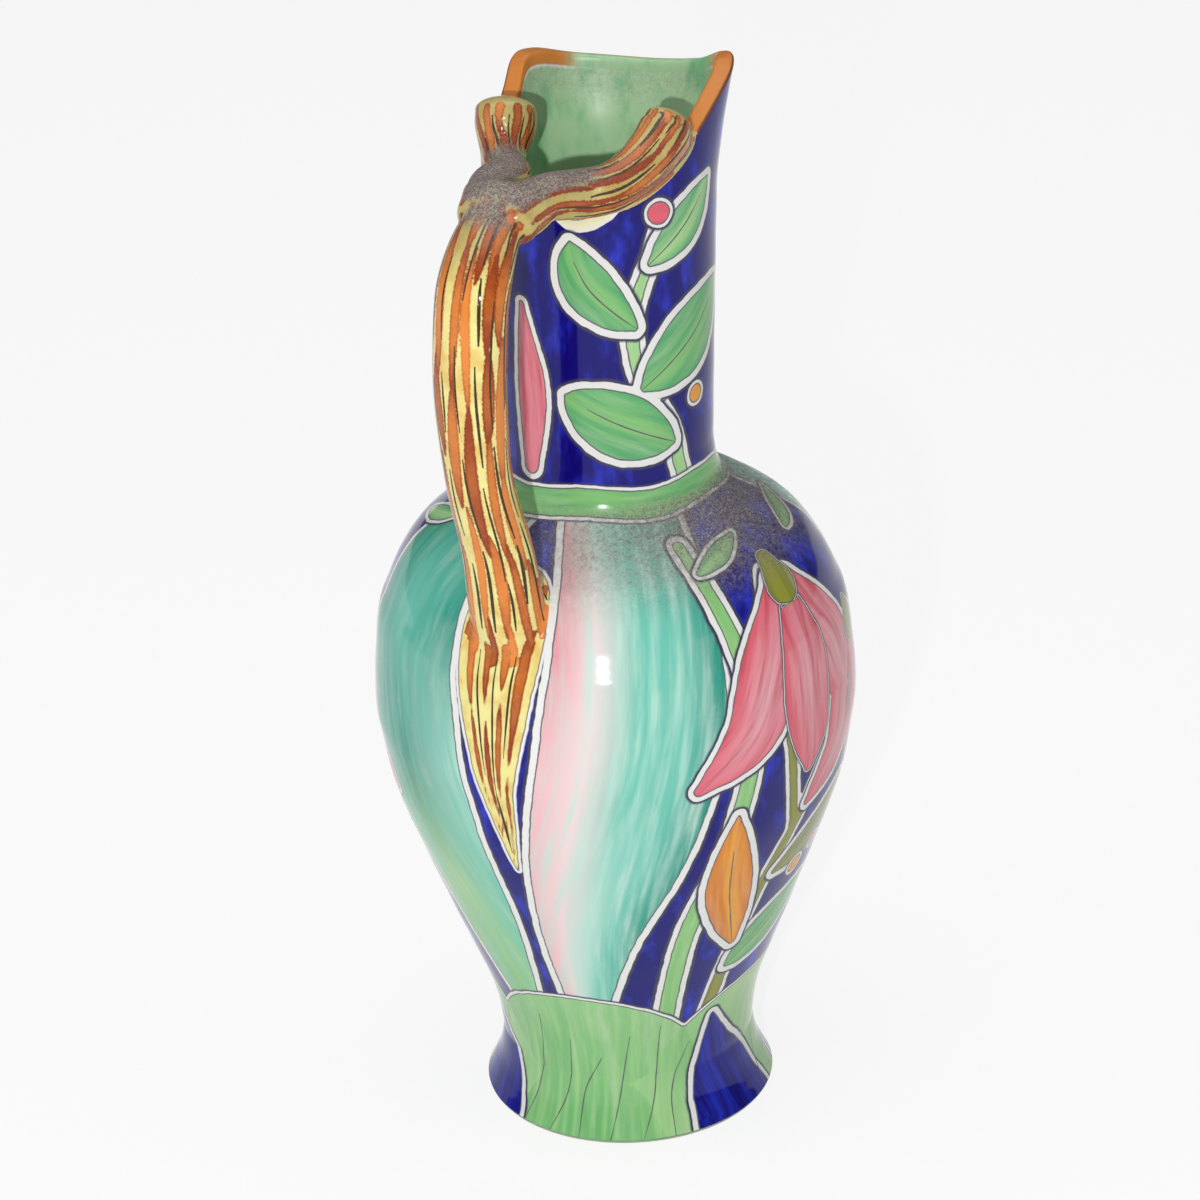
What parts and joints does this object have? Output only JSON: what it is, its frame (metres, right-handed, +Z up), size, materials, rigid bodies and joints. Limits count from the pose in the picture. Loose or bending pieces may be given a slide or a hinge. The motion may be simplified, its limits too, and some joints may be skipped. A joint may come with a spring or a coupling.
{
  "type": "ceramic ewer",
  "caption": "Tall glazed ceramic ewer with a pear-shaped body, a long neck cut obliquely at the mouth and one branch-shaped handle forked onto the rim.",
  "frame": {"origin": "Centre of the foot's underside, on the axis that the pot was turned on", "axes": "+Z up along the turning axis, +X towards the spout, -X towards the handle, +Y to the handle's left seen from behind it"},
  "size_m": [0.1849, 0.1744, 0.3954],
  "materials": {
    "leaf_green_glaze": "gloss",
    "sea_green_glaze": "gloss",
    "aqua_glaze": "gloss",
    "cobalt_glaze": "gloss",
    "white_slip": "gloss",
    "bark_glaze": "gloss"
  },
  "bodies": {
    "root": {"foot": "leaf_green_glaze", "lower_body": "sea_green_glaze", "upper_body": "aqua_glaze", "neck": "cobalt_glaze", "neck_coil": "white_slip", "handle_trunk": "bark_glaze", "root_coil": "bark_glaze", "twig_left": "bark_glaze", "twig_right": "bark_glaze"}
  },
  "joints": []
}
